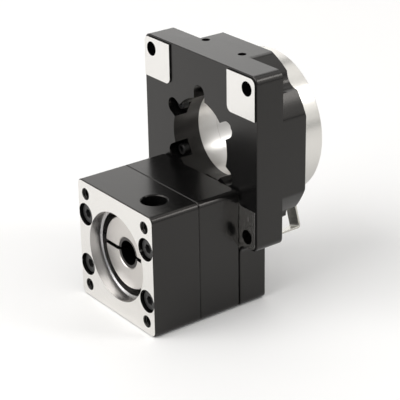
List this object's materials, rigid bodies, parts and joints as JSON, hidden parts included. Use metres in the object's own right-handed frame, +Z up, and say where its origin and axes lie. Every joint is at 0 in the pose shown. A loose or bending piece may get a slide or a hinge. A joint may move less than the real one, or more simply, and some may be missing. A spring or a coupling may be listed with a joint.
{
  "type": "hollow rotary platform",
  "caption": "Geared rotary table with a hollow centre on a crossed-roller bearing, turned by a side pinion through a square flange that takes a motor.",
  "frame": {"origin": "on the table's axis, in the plane of the four mounting pads", "axes": "+Y out of the table along its axis, +Z up away from the motor flange, +X to the side of the access hole"},
  "size_m": [0.085, 0.094, 0.1175],
  "materials": {
    "black_housing": "black anodised, semi-gloss, pads machined bright",
    "black_block": "black anodised, semi-gloss",
    "machined_flange": "black anodised, front face machined bright",
    "turned_steel": "turned, satin",
    "ground_steel": "ground",
    "gear_steel": "cut teeth, oiled",
    "bearing_steel": "polished",
    "black_screw": "black oxide",
    "clamp_metal": "turned, satin",
    "shaft_steel": "ground",
    "sheet_steel": "satin",
    "seal_rubber": "matte",
    "spacer_plastic": "matte"
  },
  "bodies": {
    "base": {"housing": "black_housing", "shaft_block": "black_block", "motor_flange": "machined_flange", "block_screws": "black_screw", "locating_pins": "bearing_steel", "inner_ring_rear": "ground_steel", "inner_ring_front": "ground_steel", "ring_screws": "black_screw", "cover_ring": "ground_steel", "table_seal": "seal_rubber", "front_bearing_outer": "bearing_steel", "rear_bearing_outer": "bearing_steel", "outer_spacer": "ground_steel", "bearing_clip": "black_screw", "shaft_seal": "seal_rubber"},
    "table": {"turntable": "turned_steel", "ring_gear": "gear_steel", "gear_screws": "black_screw", "sensor_flag": "sheet_steel", "flag_screws": "black_screw"},
    "input": {"pinion_shaft": "shaft_steel", "clamp_collar": "clamp_metal", "clamp_screw": "black_screw", "front_bearing_inner": "bearing_steel", "rear_bearing_inner": "bearing_steel", "inner_spacer": "ground_steel", "shaft_clip": "black_screw"},
    "roller_train": {"crossed_rollers": "bearing_steel", "roller_spacers": "spacer_plastic"},
    "ball_train": {"front_bearing_balls": "bearing_steel", "rear_bearing_balls": "bearing_steel"}
  },
  "joints": [
    {"name": "table_turn", "type": "hinge", "parent": "base", "child": "table", "pos_m": [0, 0, 0], "axis": [0, 1, 0], "continuous": true},
    {"name": "input_turn", "type": "hinge", "parent": "base", "child": "input", "pos_m": [0, 0, -0.045], "axis": [0, 1, 0], "continuous": true},
    {"name": "roller_orbit", "type": "hinge", "parent": "base", "child": "roller_train", "pos_m": [0, 0, 0], "axis": [0, 1, 0], "continuous": true},
    {"name": "ball_orbit", "type": "hinge", "parent": "base", "child": "ball_train", "pos_m": [0, 0, -0.045], "axis": [0, 1, 0], "continuous": true}
  ],
  "couplings": [
    {"joint": "input_turn", "follows": "table_turn", "ratio": -5},
    {"joint": "roller_orbit", "follows": "table_turn", "ratio": 0.5},
    {"joint": "ball_orbit", "follows": "table_turn", "ratio": -2.0349}
  ]
}
